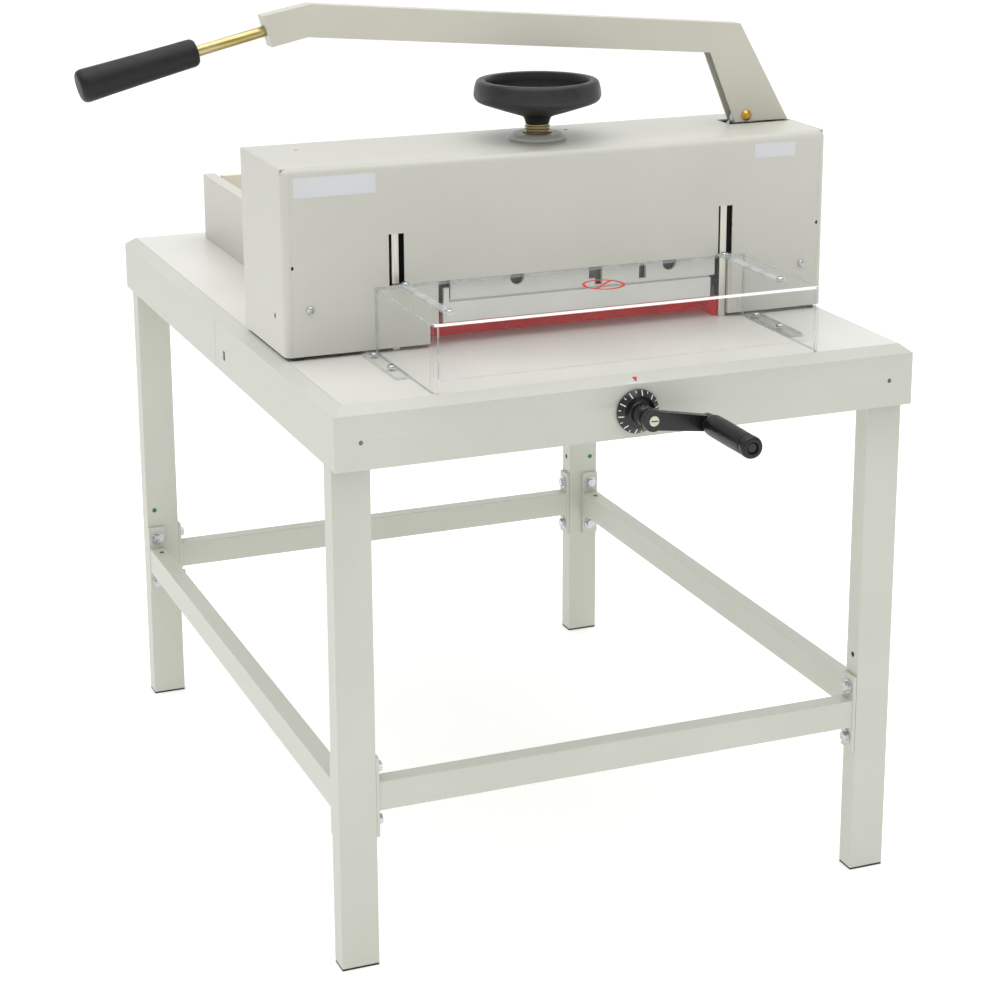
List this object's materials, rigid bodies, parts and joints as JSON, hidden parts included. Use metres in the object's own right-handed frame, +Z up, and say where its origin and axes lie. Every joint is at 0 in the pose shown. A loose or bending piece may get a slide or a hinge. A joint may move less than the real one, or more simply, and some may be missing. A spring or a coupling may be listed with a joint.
{
  "type": "guillotine paper cutter",
  "caption": "Lever-operated stack paper cutter with a clamp handwheel, a crank-driven back gauge and a clear guard, on a four-legged stand.",
  "frame": {"origin": "on the floor, under the centre of the table", "axes": "+X to the right along the front, +Y to the back, +Z up"},
  "size_m": [1.0194, 1.2345, 1.2025],
  "materials": {
    "painted_frame": "satin powder coat",
    "painted_sheet": "satin powder coat",
    "painted_table": "smooth satin powder coat",
    "machined_iron": "painted casting",
    "bright_steel": "ground",
    "zinc_plated": "zinc plated",
    "black_oxide": "black oxide",
    "black_plastic": "fine grained",
    "brass": "turned",
    "clear_acrylic": "polished",
    "red_plastic": "gloss",
    "green_plastic": "satin",
    "cream_plastic": "satin",
    "white_label": "printed film"
  },
  "bodies": {
    "base": {"leg_front_left": "painted_frame", "leg_front_right": "painted_frame", "leg_back_left": "painted_frame", "leg_back_right": "painted_frame", "foot_caps": "black_plastic", "stretcher_left": "painted_frame", "stretcher_right": "painted_frame", "stretcher_front": "painted_frame", "stretcher_back": "painted_frame", "stretcher_bolts": "zinc_plated", "thread_plugs": "green_plastic", "table_studs": "black_oxide", "table_rails": "painted_frame", "apron_front": "painted_sheet", "apron_back": "painted_sheet", "apron_left": "painted_sheet", "apron_right": "painted_sheet", "table_plate": "painted_table", "cutting_stick": "cream_plastic", "side_frames": "machined_iron", "cross_beam": "machined_iron", "front_cover": "painted_sheet", "top_cover": "painted_sheet", "end_cover_left": "painted_sheet", "end_cover_right": "painted_sheet", "rear_cover": "painted_sheet", "cover_screws": "zinc_plated", "cover_pads": "black_plastic", "guide_bars": "bright_steel", "spindle_flange": "painted_sheet", "pivot_bracket": "machined_iron", "pivot_pin": "bright_steel", "guard_shell": "clear_acrylic", "guard_stays": "clear_acrylic", "guard_screws": "zinc_plated", "warning_sign": "red_plastic", "blank_labels": "white_label", "rear_guard_left": "painted_sheet", "rear_guard_right": "painted_sheet", "screw_bearings": "machined_iron"},
    "knife_carriage": {"knife_carrier": "black_oxide", "carrier_plate": "painted_sheet", "knife": "bright_steel", "knife_bolts": "black_oxide", "red_guard": "red_plastic"},
    "lever": {"lever_arm": "painted_sheet", "lever_rod": "brass", "lever_grip": "black_plastic", "link_pin": "brass"},
    "link": {"lever_link": "zinc_plated"},
    "clamp": {"clamp_beam": "bright_steel"},
    "handwheel_screw": {"spindle": "brass", "handwheel": "black_plastic"},
    "gauge": {"backgauge": "cream_plastic", "gauge_nut": "bright_steel"},
    "crank": {"lead_screw": "bright_steel", "gauge_dial": "black_plastic", "crank_arm": "black_plastic", "grip_axle": "zinc_plated"},
    "crank_knob": {"crank_grip": "black_plastic"}
  },
  "joints": [
    {"name": "lever_swing", "type": "hinge", "parent": "base", "child": "lever", "pos_m": [0.35, -0.195, 1.033], "axis": [0, 1, 0], "range_deg": [0, 58]},
    {"name": "link_pivot", "type": "hinge", "parent": "lever", "child": "link", "pos_m": [0.317, -0.195, 1.02], "axis": [0, 1, 0], "range_deg": [-58, 0]},
    {"name": "knife_slide", "type": "slide", "parent": "base", "child": "knife_carriage", "axis": [0, 0, 1], "range_m": [0, 0.0341]},
    {"name": "handwheel_turn", "type": "hinge", "parent": "clamp", "child": "handwheel_screw", "pos_m": [0, -0.21, 1.07], "axis": [0, 0, 1], "range_deg": [-720, 1680]},
    {"name": "clamp_slide", "type": "slide", "parent": "base", "child": "clamp", "axis": [0, 0, 1], "range_m": [-0.01201, 0.02801]},
    {"name": "gauge_crank_turn", "type": "hinge", "parent": "base", "child": "crank", "pos_m": [0, -0.58, 0.714], "axis": [0, 1, 0], "range_deg": [0, 23040]},
    {"name": "backgauge_slide", "type": "slide", "parent": "base", "child": "gauge", "axis": [0, 1, 0], "range_m": [-0.64001, 0.00001]},
    {"name": "crank_grip_spin", "type": "hinge", "parent": "crank", "child": "crank_knob", "pos_m": [0.07902, -0.64, 0.70149], "axis": [0, 1, 0], "continuous": true}
  ],
  "couplings": [
    {"joint": "link_pivot", "follows": "lever_swing", "ratio": -1},
    {"joint": "knife_slide", "follows": "lever_swing", "m_per_rad": 0.03368},
    {"joint": "clamp_slide", "follows": "handwheel_turn", "m_per_rad": 0.00095493},
    {"joint": "backgauge_slide", "follows": "gauge_crank_turn", "m_per_rad": -0.0015915}
  ]
}
